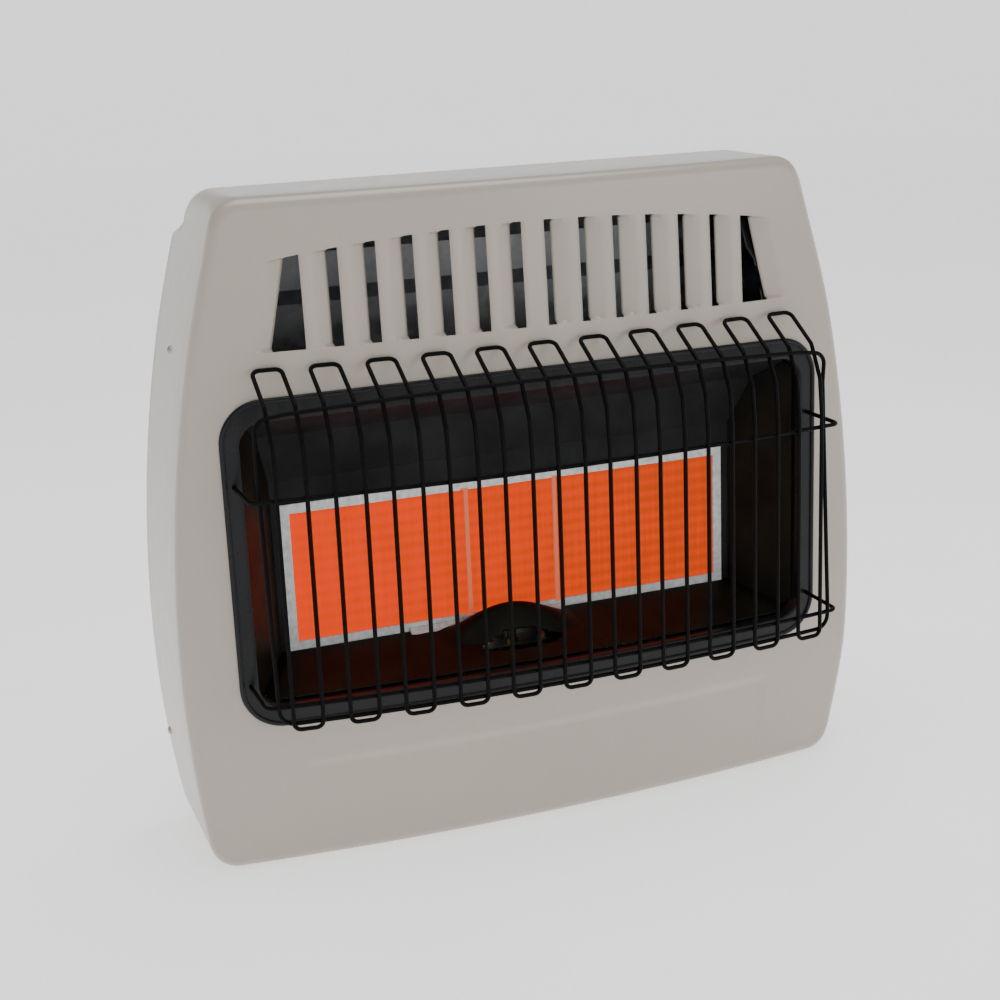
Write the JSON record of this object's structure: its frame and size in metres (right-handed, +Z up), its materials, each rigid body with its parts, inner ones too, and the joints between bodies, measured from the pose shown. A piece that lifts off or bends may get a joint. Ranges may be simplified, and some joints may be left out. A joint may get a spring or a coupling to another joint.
{
  "type": "wall mounted gas heater",
  "caption": "Wall mounted infrared gas heater: bowed sheet metal case with pressed louvres, black window frame, glowing ceramic plaques behind a wire guard, side control knob",
  "frame": {"origin": "centre of the rear face that lies on the wall, at mid height of the case", "axes": "+Z up; +Y into the wall, so the front faces -Y; +X to the right of a person who looks at the front"},
  "size_m": [0.7249, 0.2487, 0.63],
  "materials": {
    "case_paint": "semi-gloss warm grey-beige baked enamel",
    "black_gloss": "gloss black enamel",
    "guard_black": "satin black coating",
    "dark_enamel": "dark brown-black glossy enamel",
    "zinc_sheet": "zinc coated sheet",
    "steel": "plain steel",
    "plaque_ceramic": "glowing orange perforated ceramic",
    "white_fibre": "soft white fibre",
    "white_ceramic": "white glazed",
    "die_cast": "as cast",
    "brass": "machined",
    "copper": "drawn copper",
    "lead_silicone": "matte silicone",
    "black_plastic": "fine matte"
  },
  "bodies": {
    "heater": {"front_cover": "case_paint", "bezel": "black_gloss", "top_deflector": "black_gloss", "burner_frame": "black_gloss", "back_panel": "zinc_sheet", "wall_bracket": "zinc_sheet", "base_panel": "zinc_sheet", "heat_baffle": "zinc_sheet", "burner_support_left": "zinc_sheet", "burner_support_right": "zinc_sheet", "side_bracket_left": "zinc_sheet", "side_bracket_right": "zinc_sheet", "valve_bracket": "zinc_sheet", "reflector_left": "dark_enamel", "reflector_right": "dark_enamel", "bottom_reflector": "dark_enamel", "plaque_gasket": "white_fibre", "gas_rail": "steel", "pilot_bracket": "steel", "gas_valve": "die_cast", "pressure_regulator": "die_cast", "pilot_tube": "die_cast", "valve_elbow": "brass", "inlet_elbow": "brass", "pilot_burner": "brass", "spark_electrode": "white_ceramic", "thermocouple": "copper", "ignition_lead": "lead_silicone", "piezo_igniter": "black_plastic", "screw_upper_left": "steel", "screw_upper_right": "steel", "screw_lower_left": "steel", "screw_lower_right": "steel", "wire_guard": "guard_black", "burner_box_left": "steel", "mixing_tube_left": "steel", "injector_left": "brass", "burner_box_centre": "steel", "mixing_tube_centre": "steel", "injector_centre": "brass", "burner_box_right": "steel", "mixing_tube_right": "steel", "injector_right": "brass", "plaque_1": "plaque_ceramic", "plaque_2": "plaque_ceramic", "plaque_3": "plaque_ceramic", "plaque_4": "plaque_ceramic", "plaque_5": "plaque_ceramic"},
    "control_push": {"stem_collar": "steel"},
    "control_turn": {"valve_stem": "steel", "control_knob": "black_plastic"},
    "igniter": {"igniter_button": "black_plastic"}
  },
  "joints": [
    {"name": "knob_push", "type": "slide", "parent": "heater", "child": "control_push", "axis": [-1, 0, 0], "range_m": [0, 0.005], "stiffness_N_per_m": 300, "springref_m": -0.005},
    {"name": "knob_turn", "type": "hinge", "parent": "control_push", "child": "control_turn", "pos_m": [0.36, -0.056, -0.17], "axis": [-1, 0, 0], "range_deg": [0, 210]},
    {"name": "igniter_press", "type": "slide", "parent": "heater", "child": "igniter", "axis": [-1, 0, 0], "range_m": [0, 0.0055], "stiffness_N_per_m": 300, "springref_m": -0.004}
  ]
}
